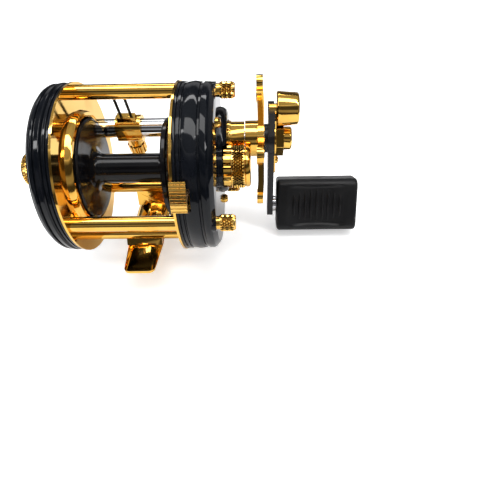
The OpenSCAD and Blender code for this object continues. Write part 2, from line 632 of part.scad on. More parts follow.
// ---- drive ----
module shaft_sleeve() color(gold) up() difference() {
    union() {
        rod(sleeve_x0, boss_x + 0.5, 7.2, shaft_y, shaft_z);
        rod(boss_x + 0.5 - eps, boss_x + 1.2, 7, shaft_y, shaft_z);
        rod(sleeve_in_x, collar_x0, 5.4, shaft_y, shaft_z);
        rod(boss_x + 1.1, collar_x0, 6.6, shaft_y, shaft_z);
    }
    rod(sleeve_in_x - 1, collar_x0 + 1, drive_r + run_gap, shaft_y, shaft_z);
}
module drive_shaft() color(steel) up() {
    rod(plate_x0, main_x0, 2, shaft_y, shaft_z);
    rod(main_x0 - eps, arm_x1 + 3.4, drive_r, shaft_y, shaft_z);
}
module main_gear() color(brass) up() difference() {
    gear(main_x0, main_l, drive_m, main_n, shaft_y, shaft_z, meshed(shaft_a, 0, pinion_n, main_n));
    rod(main_x0 - 1, main_x1 + 1, drive_r, shaft_y, shaft_z);
}
module drag_washers() color([0.35, 0.2, 0.12]) up() pipe(main_x1, main_x1 + drag_t, 9, drive_r, shaft_y, shaft_z);
drag_t = 0.6;
ratchet_x0 = main_x1 + drag_t;
ratchet_r = 7;
module ratchet_wheel() color(steel) up() translate([0, shaft_y, shaft_z]) difference() {
    translate([ratchet_x0, 0, 0]) on_x() linear_extrude(1.2) polygon([for (i = [0 : 11])
        for (p = [[ratchet_r - 1.2, 0], [ratchet_r, 1]]) [p[0] * cos(30 * (i + p[1])), p[0] * sin(30 * (i + p[1]))]]);
    rod(ratchet_x0 - 1, ratchet_x0 + 3, drive_r);
}
// pawl against turning back, held clear of the ratchet by its friction spring
stop_y = shaft_y - 4.4;
stop_z = shaft_z - ratchet_r - 2.6;
module reverse_stop() color(steel) up() translate([ratchet_x0, stop_y, stop_z]) difference() {
    on_x() linear_extrude(1) polygon([[-1.6, -1.6], [-1.6, 1.6], [3.4, 2.1], [5, 1.6], [5, 0.4], [2.4, -1.6]]);
    rod(-1, 2, 0.8 + run_gap);
}
star_at = 145.6;           // one arm, from up towards the rear
module star_wheel() color(gold) up() difference() {
    union() {
        rod(collar_x0 + 0.3, star_x0 + 0.1, 6.9, shaft_y, shaft_z);
        rod(star_x0, star_x0 + star_t, 7.6, shaft_y, shaft_z);
        for (i = [0 : 4]) translate([star_x0, shaft_y, shaft_z]) rotate([star_at + 72 * i, 0, 0]) star_arm();
    }
    rod(collar_x0, star_x0 + star_t + 1, drive_r + run_gap, shaft_y, shaft_z);
}
// an arm that widens to a rounded tip and bends a little towards the reel
module star_arm() {
    translate([0, -2.3, 5]) cube([star_t, 4.6, star_r * 0.45]);
    translate([0, 0, 5 + star_r * 0.45]) rotate([0, -4, 0]) translate([0, -2.3, -0.3])
        cube([star_t, 4.6, star_r * 0.55 - 5 - 2.6]);
    translate([-(star_r * 0.55 - 7.6) * sin(4), 0, star_r - 2.9]) rotate([0, 90, 0])
        cylinder(r = 2.9, h = star_t);
}
module spring_washer() color(black) up() pipe(washer_x0 + 0.15, arm_x0, 5.5, drive_r, shaft_y, shaft_z);
module handle_arm() color(black) up() translate([0, shaft_y, shaft_z]) difference() {
    translate([arm_x0, 0, 0]) on_x() linear_extrude(arm_t) arm_outline();
    rod(arm_x0 - 1, arm_x1 + 1, drive_r);
    rod(arm_x0 - 1, arm_x1 + 1, knob_pin_r, 0, -crank_r);
    rod(arm_x0 - 1, arm_x1 + 1, weight_pin_r, 0, weight_z);
    rod(arm_x0 - 1, arm_x1 + 1, lock_screw_r, 0, lock_screw_z);
}
knob_pin_r = 2.2;
weight_z = 12.3;
weight_pin_r = 2;
lock_screw_z = -9.7;
lock_screw_r = 0.8;
module arm_outline() {
    arm_n = 5.2;
    circle(r = 6.4);
    translate([0, -crank_r]) circle(r = arm_n);
    translate([-arm_n, -crank_r]) square([2 * arm_n, crank_r + weight_z + 0.6]);
}
module handle_nut() color(gold) up() translate([0, shaft_y, shaft_z]) difference() {
    union() {
        translate([nut_x0, 0, 0]) on_x() linear_extrude(3) circle(r = 6.8, $fn = 6);
        turned([[0, nut_x0], [4.45, nut_x0], [4.45, nut_x0 + 5.6], [3.9, nut_x0 + 6.2], [0, nut_x0 + 6.2]]);
    }
    rod(nut_x0 - 1, arm_x1 + 3.4, drive_r);
}
module lock_plate() color(gold) up() translate([0, shaft_y, shaft_z]) difference() {
    translate([arm_x1, 0, 0]) on_x() linear_extrude(lock_t) {
        circle(r = 6.9);
        translate([-3, -13.5]) square([6, 13.5]);
        translate([0, -12.6]) circle(r = 3);
        translate([-3.5, 0]) square([7, 9.2]);
    }
    rod(arm_x1 - 1, arm_x1 + 2, drive_r);
    rod(arm_x1 - 1, arm_x1 + 2, lock_screw_r, 0, lock_screw_z);
}
module lock_screw() color(gold) up() translate([0, shaft_y, shaft_z + lock_screw_z]) difference() {
    union() {
        turned([[0, nut_x0], [1.7, nut_x0], [1.6, nut_x0 + 0.8], [0.9, nut_x0 + 1.3], [0, nut_x0 + 1.4]]);
        rod(arm_x0 + 0.2, nut_x0 + eps, lock_screw_r);
    }
    translate([nut_x0 + 1.3, 0, 0]) cube([1, 4, 0.5], center = true);
}
module counterweight() color(gold) up() translate([0, shaft_y, shaft_z + weight_z]) {
    turned([[0, nut_x0], [5.9, nut_x0], [6.35, nut_x0 + 0.5], [5.8, arm_x1 + 8.4], [5.3, arm_x1 + 8.9],
        [0, arm_x1 + 8.9]]);
    rod(arm_x0 + 0.2, nut_x0 + eps, weight_pin_r);
}
knob_x0 = arm_x1 + 1.6;
knob_x1 = knob_x0 + knob_l;
module knob_pin() color(steel) up() translate([0, shaft_y, shaft_z - crank_r]) {
    rod(arm_x0 + 0.2, arm_x1 + 1.2, knob_pin_r);
    rod(arm_x1, arm_x1 + 1.3, 3.4);
    rod(arm_x1 + 1, knob_x0 + knob_l * 0.6, 1.7);
}
knob_lean = -26;         // turns a thumb hollow up towards the rear
module handle_knob() color(black) up() translate([0, shaft_y, shaft_z - crank_r]) rotate([knob_lean, 0, 0])
    difference() {
        translate([knob_x0, 0, 0]) on_x() linear_extrude(knob_l) rounded(knob_t, knob_h, 3);
        rod(knob_x0 - 1, knob_x0 + knob_l * 0.6 + 0.4, 1.7 + run_gap);
        // thumb hollows on both faces
        for (s = [-1, 1]) translate([(knob_x0 + knob_x1) / 2, s * (knob_t / 2 + 58.6), 0])
            cylinder(r = 60, h = knob_h - 6, center = true);
    }
module rounded(w, h, r) {
    square([w - 2 * r, h], center = true);
    square([w, h - 2 * r], center = true);
    for (x = [-1, 1], y = [-1, 1]) translate([x * (w / 2 - r), y * (h / 2 - r)]) circle(r = r);
}

frame_left_plate();
frame_right_plate();
top_pillar();
rear_pillar();
front_pillar();
foot_bar();
reel_foot();
foot_screws();
left_cover();
left_cap();
left_bearing();
brake_drum();
right_cover();
gear_plate();
gear_plate_screws();
cover_screws();
right_bearing();
top_thumb_screw();
rear_thumb_screw();
front_thumb_screw();
cast_control_cap();
cast_control_pad();
cast_control_spring();
spool();
spool_shaft();
spool_cog();
cross_pin();
brake_pins();
brake_block_a();
brake_block_b();
pinion();
yoke();
clutch_button();
clutch_lever();
guide_tube();
worm_shaft();
worm_cog();
idler_gear();
idler_axle();
line_guide();
line_wires();
pawl();
pawl_cap();
shaft_sleeve();
drive_shaft();
main_gear();
drag_washers();
ratchet_wheel();
reverse_stop();
star_wheel();
spring_washer();
handle_arm();
handle_nut();
lock_plate();
lock_screw();
counterweight();
knob_pin();
handle_knob();
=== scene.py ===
import json
import math

import bmesh
import bpy
from mathutils import Matrix, Vector

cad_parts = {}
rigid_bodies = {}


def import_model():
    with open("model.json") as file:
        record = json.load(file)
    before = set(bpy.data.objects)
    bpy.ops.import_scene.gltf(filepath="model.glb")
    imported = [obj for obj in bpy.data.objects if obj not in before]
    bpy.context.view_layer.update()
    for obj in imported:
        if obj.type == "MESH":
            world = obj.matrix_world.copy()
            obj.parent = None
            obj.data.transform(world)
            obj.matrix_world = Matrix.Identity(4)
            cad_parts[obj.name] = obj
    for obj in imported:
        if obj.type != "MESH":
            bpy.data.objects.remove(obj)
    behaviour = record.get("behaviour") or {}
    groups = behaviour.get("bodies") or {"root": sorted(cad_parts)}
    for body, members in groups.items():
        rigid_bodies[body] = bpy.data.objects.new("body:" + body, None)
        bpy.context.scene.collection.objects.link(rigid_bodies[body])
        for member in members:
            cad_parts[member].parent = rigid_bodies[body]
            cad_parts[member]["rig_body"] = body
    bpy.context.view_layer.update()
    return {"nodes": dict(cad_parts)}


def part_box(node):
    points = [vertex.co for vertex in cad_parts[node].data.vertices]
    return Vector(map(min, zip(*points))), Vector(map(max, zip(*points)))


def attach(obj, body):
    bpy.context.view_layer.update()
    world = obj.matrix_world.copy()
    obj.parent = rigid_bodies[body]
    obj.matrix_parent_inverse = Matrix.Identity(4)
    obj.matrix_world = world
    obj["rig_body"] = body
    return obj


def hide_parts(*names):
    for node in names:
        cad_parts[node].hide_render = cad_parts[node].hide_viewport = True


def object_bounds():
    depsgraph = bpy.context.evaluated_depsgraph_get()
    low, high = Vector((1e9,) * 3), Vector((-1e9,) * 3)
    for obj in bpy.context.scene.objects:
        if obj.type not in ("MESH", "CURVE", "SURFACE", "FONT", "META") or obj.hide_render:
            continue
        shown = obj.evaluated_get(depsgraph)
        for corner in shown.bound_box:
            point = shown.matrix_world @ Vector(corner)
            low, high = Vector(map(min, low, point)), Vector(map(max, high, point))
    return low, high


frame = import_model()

MM = 0.001


# ---- frame plates -------------------------------------------------------------------------
# Two turned brass rings, gold plated and polished, each with a collar round its spool opening.
# They are riveted to the pillars at the left and held by the thumb screws at the right.
def shader_group(name, inputs, outputs):
    """A new shader node group whose inputs and outputs are all plain numbers."""
    group = bpy.data.node_groups.new(name, "ShaderNodeTree")
    for label, value in inputs:
        group.interface.new_socket(label, in_out="INPUT", socket_type="NodeSocketFloat").default_value = value
    for label in outputs:
        group.interface.new_socket(label, in_out="OUTPUT", socket_type="NodeSocketFloat")
    return group, group.nodes.new("NodeGroupInput"), group.nodes.new("NodeGroupOutput")


def node(tree, kind, values=None, **settings):
    """Adds a node with its settings and with values on its inputs."""
    made = tree.nodes.new(kind)
    for key, value in settings.items():
        setattr(made, key, value)
    for key, value in (values or {}).items():
        made.inputs[key].default_value = value
    return made


def wire(tree, *pairs):
    """Joins sockets, each pair given as (node, output), (node, input)."""
    for (a, out), (b, into) in pairs:
        tree.links.new(a.outputs[out], b.inputs[into])


# smudges left by fingers, and fine scratches that run one way
marks, marks_in, marks_out = shader_group(
    "handling_marks", [("Smudge Size", 90.0), ("Scratch Size", 900.0)], ["Smudges", "Scratches"])
where = node(marks, "ShaderNodeTexCoord")
smudge = node(marks, "ShaderNodeTexNoise", {"Detail": 4.0, "Roughness": 0.62})
smudge_range = node(marks, "ShaderNodeMapRange", {"From Min": 0.42, "From Max": 0.72})
slanted = node(marks, "ShaderNodeMapping", {"Rotation": (0.4, 0.9, 0.3), "Scale": (1.0, 9.0, 1.0)})
scratch = node(marks, "ShaderNodeTexNoise", {"Detail": 3.0})
wire(marks, ((where, "Object"), (smudge, "Vector")), ((marks_in, "Smudge Size"), (smudge, "Scale")),
     ((smudge, "Fac"), (smudge_range, "Value")), ((smudge_range, "Result"), (marks_out, "Smudges")),
     ((where, "Object"), (slanted, "Vector")), ((slanted, "Vector"), (scratch, "Vector")),
     ((marks_in, "Scratch Size"), (scratch, "Scale")), ((scratch, "Fac"), (marks_out, "Scratches")))

# a mask of the edges that handling rubs, broken up so that it isn't even; it lightens them, partly as wear and
# partly as a painted highlight
wear_and_highlight, wear_and_highlight_in, wear_and_highlight_out = shader_group("edge_wear_and_highlight", [("Reach", 0.25 * MM), ("Patch Size", 260.0)], ["Worn And Highlit"])
rounded = node(wear_and_highlight, "ShaderNodeBevel", samples=4)
flat = node(wear_and_highlight, "ShaderNodeNewGeometry")
same = node(wear_and_highlight, "ShaderNodeVectorMath", operation="DOT_PRODUCT")
turned_away = node(wear_and_highlight, "ShaderNodeMapRange", {"From Min": 0.995, "From Max": 0.9})
patch_place = node(wear_and_highlight, "ShaderNodeTexCoord")
patch = node(wear_and_highlight, "ShaderNodeTexNoise", {"Detail": 2.0})
patch_range = node(wear_and_highlight, "ShaderNodeMapRange", {"From Min": 0.35, "From Max": 0.65})
both = node(wear_and_highlight, "ShaderNodeMath", operation="MULTIPLY")
wire(wear_and_highlight, ((wear_and_highlight_in, "Reach"), (rounded, "Radius")), ((rounded, "Normal"), (same, 0)),
     ((flat, "Normal"), (same, 1)), ((same, "Value"), (turned_away, "Value")),
     ((patch_place, "Object"), (patch, "Vector")), ((wear_and_highlight_in, "Patch Size"), (patch, "Scale")),
     ((patch, "Fac"), (patch_range, "Value")), ((turned_away, "Result"), (both, 0)),
     ((patch_range, "Result"), (both, 1)), ((both, "Value"), (wear_and_highlight_out, "Worn And Highlit")))


def finish(name, colour, second, worn_and_highlit, rough, spread, metallic=0.0, bump=0.05, smudge_size=90.0,
           scratch_size=900.0, specular=0.5):
    """A surface whose colour and gloss vary with smudges and scratches, with lighter edges that are partly wear
    and partly a painted highlight.
    """
    material = bpy.data.materials.new(name + "_finish")
    material["slot"] = name
    material.use_nodes = True
    tree = material.node_tree
    shader = tree.nodes["Principled BSDF"]
    shader.inputs["Metallic"].default_value = metallic
    shader.inputs["Specular IOR Level"].default_value = specular
    marked = node(tree, "ShaderNodeGroup", node_tree=marks)
    marked.inputs["Smudge Size"].default_value = smudge_size
    marked.inputs["Scratch Size"].default_value = scratch_size
    rubbed_and_highlit = node(tree, "ShaderNodeGroup", node_tree=wear_and_highlight)
    tint = node(tree, "ShaderNodeMix", data_type="RGBA")
    tint.inputs["A"].default_value = (*colour, 1)
    tint.inputs["B"].default_value = (*second, 1)
    edge = node(tree, "ShaderNodeMix", data_type="RGBA")
    edge.inputs["B"].default_value = (*worn_and_highlit, 1)
    gloss = node(tree, "ShaderNodeMapRange", {"To Min": rough, "To Max": rough + spread})
    relief = node(tree, "ShaderNodeBump", {"Strength": bump, "Distance": 0.02 * MM})
    wire(tree, ((marked, "Smudges"), (tint, "Factor")), ((tint, "Result"), (edge, "A")),
         ((rubbed_and_highlit, "Worn And Highlit"), (edge, "Factor")), ((edge, "Result"), (shader, "Base Color")),
         ((marked, "Smudges"), (gloss, "Value")), ((gloss, "Result"), (shader, "Roughness")),
         ((marked, "Scratches"), (relief, "Height")), ((relief, "Normal"), (shader, "Normal")))
    return material


def smooth(mesh, sharp):
    """Shades a mesh smooth, apart from edges that turn by more than an angle in degrees."""
    mesh.polygons.foreach_set("use_smooth", [True] * len(mesh.polygons))
    mesh.set_sharp_from_angle(angle=math.radians(sharp))


def put(name, mesh, material, body, *nodes, edge=0.0, sharp=32):
    """Places a finished mesh on its body, in the stead of CAD nodes, with edges rounded in mm."""
    mesh.materials.clear()
    mesh.materials.append(material)
    smooth(mesh, sharp)
    piece = bpy.data.objects.new(name, mesh)
    bpy.context.scene.collection.objects.link(piece)
    if edge:
        bevel = piece.modifiers.new("rounded_edges", "BEVEL")
        bevel.width = edge * MM
        bevel.segments = 2
        bevel.limit_method = "ANGLE"
        bevel.angle_limit = math.radians(sharp)
        bevel.harden_normals = True
        bevel.miter_outer = "MITER_ARC"
    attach(piece, body)
    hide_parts(*nodes)
    return piece


def machined(part, material, edge=0.12, sharp=32):
    """The shape of a CAD node with its faces joined, its curves smooth and its edges rounded."""
    source = frame["nodes"][part]
    mesh = source.data.copy()
    mesh.name = part + "_shape"
    shape = bmesh.new()
    shape.from_mesh(mesh)
    bmesh.ops.remove_doubles(shape, verts=shape.verts, dist=0.002 * MM)
    bmesh.ops.dissolve_limit(shape, angle_limit=math.radians(0.6), verts=shape.verts,
                             edges=shape.edges, delimit={"NORMAL"})
    shape.to_mesh(mesh)
    shape.free()
    return put(part + "_piece", mesh, material, source["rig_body"], part, edge=edge, sharp=sharp)


# the third colour of each finish goes on its edges: partly worn plating, partly a painted highlight along the
# edge
gold = finish("gold_plate", (0.83, 0.5, 0.11), (0.76, 0.41, 0.07), (0.88, 0.62, 0.24), 0.05, 0.06,
              metallic=1.0, bump=0.03)
for part in ("frame_left_plate", "frame_right_plate"):
    machined(part, gold, edge=0.15)

# ---- pillars and foot bar -----------------------------------------------------------------
# Four turned brass bars, gold plated, that hold the two plates apart.
# The right ends of three are bored and tapped for the thumb screws.
for part in ("top_pillar", "rear_pillar", "front_pillar", "foot_bar"):
    machined(part, gold, edge=0.1)

# ---- foot ---------------------------------------------------------------------------------
# A brass saddle with two toes, pressed to shape, gold plated and hollowed to fit the two low
# bars. Four countersunk screws hold it from below.
machined("reel_foot", gold, edge=0.35)
machined("foot_screws", gold, edge=0.08)

# ---- left cover ---------------------------------------------------------------------------
# A turned aluminium cup with a ridged rim and a domed face, painted in deep gloss black.
# It is pressed over the step of the left plate.
# its third colour, a lighter grey, paints highlight lines along the ridges of the rim, and partly stands for wear
gloss_black = finish("gloss_black", (0.003, 0.004, 0.006), (0.006, 0.007, 0.01), (0.02, 0.02, 0.024),
                     0.06, 0.08, bump=0.02, specular=0.22)
machined("left_cover", gloss_black, edge=0.12, sharp=24)


# ---- left cap -----------------------------------------------------------------------------
# A small brass cap with a knurled band, gold plated, that screws over the left bearing.
# The knurl is rolled: two sets of slanting grooves that leave small four-sided points.
def new_tree(name, numbers, counts):
    """An empty geometry tree with named inputs for its sizes, its counts and its material."""
    tree = bpy.data.node_groups.new(name, "GeometryNodeTree")
    for label in numbers:
        tree.interface.new_socket(label, in_out="INPUT", socket_type="NodeSocketFloat")
    for label in counts:
        tree.interface.new_socket(label, in_out="INPUT", socket_type="NodeSocketInt")
    tree.interface.new_socket("Material", in_out="INPUT", socket_type="NodeSocketMaterial")
    tree.interface.new_socket("Geometry", in_out="OUTPUT", socket_type="NodeSocketGeometry")
    return tree, tree.nodes.new("NodeGroupInput"), tree.nodes.new("NodeGroupOutput")


def end_tree(tree, inputs, outputs, last):
    """Ends a geometry tree with real geometry that has its material."""
    real = node(tree, "GeometryNodeRealizeInstances")
    painted = node(tree, "GeometryNodeSetMaterial")
    wire(tree, (last, (real, "Geometry")), ((real, "Geometry"), (painted, "Geometry")),
         ((inputs, "Material"), (painted, "Material")), ((painted, "Geometry"), (outputs, "Geometry")))


def grown(name, tree, values):
    """The plain mesh that a geometry tree makes with these values."""
    host = bpy.data.objects.new(name, bpy.data.meshes.new(name))
    bpy.context.scene.collection.objects.link(host)
    growth = host.modifiers.new("growth", "NODES")
    growth.node_group = tree
    for item in tree.interface.items_tree:
        if item.item_type == "SOCKET" and item.in_out == "INPUT":
            growth[item.identifier] = values[item.name]
    mesh = bpy.data.meshes.new_from_object(host.evaluated_get(bpy.context.evaluated_depsgraph_get()))
    host.modifiers.remove(growth)
    bpy.data.objects.remove(host)
    return mesh


def sums(tree, operation, a, b=None, c=None):
    """A maths node on sockets or plain numbers; gives its output."""
    made = node(tree, "ShaderNodeMath", operation=operation)
    for index, value in enumerate((a, b, c)):
        if isinstance(value, (int, float)):
            made.inputs[index].default_value = value
        elif value is not None:
            tree.links.new(value, made.inputs[index])
    return made.outputs[0]


# a closed drum along X whose wall is a diamond knurl
knurl, knurl_in, knurl_out = new_tree("diamond_knurl", ["Start", "Length", "Radius", "Depth", "Y", "Z"],
                                      ["Rows", "Around"])
across = sums(knurl, "ADD", knurl_in.outputs["Rows"], 3)
round_points = sums(knurl, "MULTIPLY_ADD", knurl_in.outputs["Around"], 2, 1)
sheet = node(knurl, "GeometryNodeMeshGrid", {"Size X": 1.0, "Size Y": 1.0})
knurl.links.new(across, sheet.inputs["Vertices X"])
knurl.links.new(round_points, sheet.inputs["Vertices Y"])
here = node(knurl, "GeometryNodeInputPosition")
split = node(knurl, "ShaderNodeSeparateXYZ")
wire(knurl, ((here, "Position"), (split, "Vector")))
last_row = sums(knurl, "ADD", knurl_in.outputs["Rows"], 2)
row = sums(knurl, "ROUND", sums(knurl, "MULTIPLY", sums(knurl, "ADD", split.outputs["X"], 0.5), last_row))
step = sums(knurl, "ROUND", sums(knurl, "MULTIPLY", sums(knurl, "ADD", split.outputs["Y"], 0.5),
                                 sums(knurl, "MULTIPLY", knurl_in.outputs["Around"], 2)))
low_point = sums(knurl, "FLOORED_MODULO", sums(knurl, "ADD", row, step), 2)
wall_row = sums(knurl, "SUBTRACT", row, 1)
end_row = sums(knurl, "MAXIMUM", sums(knurl, "LESS_THAN", wall_row, 0.5),
               sums(knurl, "GREATER_THAN", wall_row, sums(knurl, "SUBTRACT", knurl_in.outputs["Rows"], 0.5)))
cut = sums(knurl, "MULTIPLY", sums(knurl, "MAXIMUM", low_point, end_row), knurl_in.outputs["Depth"])
middle = sums(knurl, "MAXIMUM", sums(knurl, "LESS_THAN", row, 0.5),
              sums(knurl, "GREATER_THAN", row, sums(knurl, "SUBTRACT", last_row, 0.5)))
radius = sums(knurl, "MULTIPLY", sums(knurl, "SUBTRACT", knurl_in.outputs["Radius"], cut),
              sums(knurl, "SUBTRACT", 1.0, middle))
along = sums(knurl, "MINIMUM", sums(knurl, "MAXIMUM", sums(
    knurl, "DIVIDE", wall_row, knurl_in.outputs["Rows"]), 0.0), 1.0)
turn = sums(knurl, "MULTIPLY", sums(knurl, "DIVIDE", step, knurl_in.outputs["Around"]), math.pi)
place = node(knurl, "ShaderNodeCombineXYZ")
knurl.links.new(sums(knurl, "MULTIPLY_ADD", along, knurl_in.outputs["Length"], knurl_in.outputs["Start"]),
                place.inputs["X"])
knurl.links.new(sums(knurl, "MULTIPLY_ADD", sums(knurl, "COSINE", turn), radius, knurl_in.outputs["Y"]),
                place.inputs["Y"])
knurl.links.new(sums(knurl, "MULTIPLY_ADD", sums(knurl, "SINE", turn), radius, knurl_in.outputs["Z"]),
                place.inputs["Z"])
rolled = node(knurl, "GeometryNodeSetPosition")
closed = node(knurl, "GeometryNodeMergeByDistance", {"Distance": 0.0005 * MM})
pointed = node(knurl, "GeometryNodeTriangulate", quad_method="SHORTEST_DIAGONAL")
wire(knurl, ((sheet, "Mesh"), (rolled, "Geometry")), ((place, "Vector"), (rolled, "Position")),
     ((rolled, "Geometry"), (closed, "Geometry")), ((closed, "Geometry"), (pointed, "Mesh")))
end_tree(knurl, knurl_in, knurl_out, (pointed, "Mesh"))


def knurled(x0, x1, r, rows, around, depth, y=0.0, z=0.0):
    """A knurled drum from x0 to x1, its sizes in mm from the spool's axis."""
    return grown("knurl", knurl, {
        "Start": x0 * MM, "Length": (x1 - x0) * MM, "Radius": r * MM, "Depth": depth * MM, "Y": y * MM,
        "Z": (axis_h + z) * MM, "Rows": rows, "Around": around, "Material": gold})


def turned(profile, y=0.0, z=0.0, steps=96, wave=None):
    """A shape turned on X, from (x, radius) points in mm; wave changes the radius with the angle."""
    shape = bmesh.new()
    rings = []
    for x, r in profile:
        if r == 0:
            rings.append([shape.verts.new(Vector((x, y, axis_h + z)) * MM)])
            continue
        ring = []
        for k in range(steps):
            a = 2 * math.pi * k / steps
            rr = r - (wave(a) if wave else 0.0)
            ring.append(shape.verts.new(Vector((x, y + rr * math.cos(a), axis_h + z + rr * math.sin(a))) * MM))
        rings.append(ring)
    for a, b in zip(rings, rings[1:]):
        for k in range(steps):
            corners = [a[k % len(a)], a[(k + 1) % len(a)], b[(k + 1) % len(b)], b[k % len(b)]]
            shape.faces.new(list(dict.fromkeys(corners)))
    bmesh.ops.recalc_face_normals(shape, faces=shape.faces)
    mesh = bpy.data.meshes.new("turned")
    shape.to_mesh(mesh)
    shape.free()
    return mesh


def joined(*meshes):
    """Several closed meshes in one."""
    shape = bmesh.new()
    for mesh in meshes:
        shape.from_mesh(mesh)
    whole = bpy.data.meshes.new("joined")
    shape.to_mesh(whole)
    shape.free()
    return whole


axis_h = 29.5
left_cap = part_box("left_cap")
left_end = left_cap[0][0] / MM
put("left_cap_piece", joined(
    knurled(left_end + 0.5, left_end + 5.0, 6.1, 6, 38, 0.3),
    turned([(left_end, 0), (left_end, 5.0), (left_end + 0.25, 5.4), (left_end + 0.6, 5.6), (left_end + 1, 5.6),
            (left_end + 1, 0)]),
    turned([(left_end + 4.9, 0), (left_end + 4.9, 5.9), (left_end + 5.62, 5.9), (left_end + 5.62, 0)])),
    gold, "left_cap", "left_cap")

# ---- left bearing and brake drum ----------------------------------------------------------
# A steel bearing in the left cover's hub, and a steel ring round it for the brake blocks.
steel = finish("steel", (0.58, 0.58, 0.6), (0.48, 0.48, 0.5), (0.7, 0.7, 0.72), 0.2, 0.12, metallic=1.0,
               bump=0.1)
machined("left_bearing", steel, edge=0)
machined("brake_drum", steel, edge=0)

# ---- right cover --------------------------------------------------------------------------
# A turned and milled aluminium cup like the left one, gloss black, with a flat crown and a
# raised round over the gears. Two cheese-head screws join it to the gear plate.
machined("right_cover", gloss_black, edge=0.12, sharp=24)
machined("cover_screws", gold, edge=0.1)

# ---- gear plate ---------------------------------------------------------------------------
# A brass plate inside the right cover, screwed to the frame, with the bearings of the gears.
brass = finish("brass", (0.78, 0.56, 0.26), (0.66, 0.45, 0.2), (0.85, 0.66, 0.36), 0.18, 0.15, metallic=1.0,
               bump=0.1)
machined("gear_plate", brass, edge=0)
machined("gear_plate_screws", steel, edge=0)
machined("right_bearing", steel, edge=0)

# ---- thumb screws -------------------------------------------------------------------------
# Three brass screws with knurled heads, gold plated, that hold the right cover to the pillars.
for side in ("top", "rear", "front"):
    part = side + "_thumb_screw"
    low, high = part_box(part)
    y = (low[1] + high[1]) / 2 / MM
    z = (low[2] + high[2]) / 2 / MM - axis_h
    tip = high[0] / MM
    put(part + "_piece", joined(
        knurled(tip - 5.4, tip - 0.5, 2.95, 6, 18, 0.38, y, z),
        turned([(tip - 0.7, 0), (tip - 0.7, 2.55), (tip - 0.2, 2.5), (tip, 2.2), (tip, 0)], y, z, 48),
        turned([(low[0] / MM, 0), (low[0] / MM, 1.28), (tip - 6.5, 1.28), (tip - 6.5, 2.3),
                (tip - 5.3, 2.3), (tip - 5.3, 0)], y, z, 48)), gold, part, part)


# ---- cast control cap ---------------------------------------------------------------------
# A brass cap that squeezes the spool's shaft for casting: a fluted base, a knurled band and a
# plain rim, gold plated. Inside are a nylon pad and a spring.
def flutes(count, depth):
    """Round flutes cut into a turned shape: the depth in mm at each angle."""
    return lambda a: depth * max(0.0, math.cos(a * count)) ** 0.7


low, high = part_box("cast_control_cap")
cap_0 = low[0] / MM
cap_1 = high[0] / MM
cap_r = 8.0
put("cast_control_cap_piece", joined(
    turned([(cap_0, 0), (cap_0, 7.2), (cap_0 + 0.3, 7.6), (cap_0 + 2.8, 7.6), (cap_0 + 3.1, 7.3),
            (cap_0 + 3.1, 0)], steps=160, wave=flutes(10, 1.1)),
    turned([(cap_0 + 3.0, 0), (cap_0 + 3.0, 7.7), (cap_0 + 3.3, 7.7), (cap_0 + 3.3, 0)]),
    knurled(cap_0 + 3.15, cap_0 + 7.9, cap_r, 6, 42, 0.5),
    turned([(cap_0 + 7.8, 0), (cap_0 + 7.8, 7.55), (cap_0 + 8.1, 7.3), (cap_0 + 8.4, 7.55), (cap_0 + 9.3, 7.5),
            (cap_0 + 9.8, 7.2), (cap_1, 6.6), (cap_1, 0)])), gold, "cast_control", "cast_control_cap")
nylon = finish("ivory_nylon", (0.8, 0.79, 0.7), (0.74, 0.72, 0.62), (0.85, 0.84, 0.78), 0.4, 0.15, bump=0.1)
machined("cast_control_pad", nylon, edge=0)
machined("cast_control_spring", steel, edge=0)

# ---- spool --------------------------------------------------------------------------------
# A turned aluminium bobbin, anodised black and polished, fixed on a steel shaft.
# Its right end carries a nylon cog, its left end two pins with sliding brake blocks.
spool_black = finish("spool_black", (0.003, 0.003, 0.004), (0.006, 0.006, 0.007), (0.03, 0.03, 0.033), 0.1,
                     0.1, bump=0.03, specular=0.22)
for part in ("spool", "brake_block_a", "brake_block_b"):
    machined(part, spool_black, edge=0.1)
for part in ("spool_shaft", "cross_pin", "brake_pins"):
    machined(part, steel, edge=0)
machined("spool_cog", nylon, edge=0)

# ---- clutch -------------------------------------------------------------------------------
# A brass pinion that a steel yoke draws off the spool's cross pin when the thumb presses the
# gold button on the rim, which turns a steel lever round the hub.
machined("pinion", brass, edge=0)
machined("yoke", steel, edge=0)
machined("clutch_lever", steel, edge=0)
machined("clutch_button", gold, edge=0.05)

# ---- level wind ---------------------------------------------------------------------------
# A chromed tube with a worm inside, turned by nylon gears from the spool. The gold line guide
# slides on the tube, with two black wires for the line and a pawl under a fluted cap.
chrome = finish("chrome", (0.78, 0.79, 0.81), (0.7, 0.71, 0.73), (0.8, 0.8, 0.82), 0.05, 0.06, metallic=1.0,
                bump=0.03)
machined("guide_tube", chrome, edge=0.1)
machined("worm_shaft", steel, edge=0)
machined("idler_axle", steel, edge=0)
machined("worm_cog", nylon, edge=0)
machined("idler_gear", nylon, edge=0)
machined("line_guide", gold, edge=0.25)
machined("pawl", steel, edge=0)
machined("pawl_cap", gold, edge=0.15)
satin_black = finish("black_steel", (0.006, 0.006, 0.008), (0.01, 0.01, 0.012), (0.04, 0.04, 0.044), 0.28,
                     0.15, bump=0.08, specular=0.3)
machined("line_wires", satin_black, edge=0)

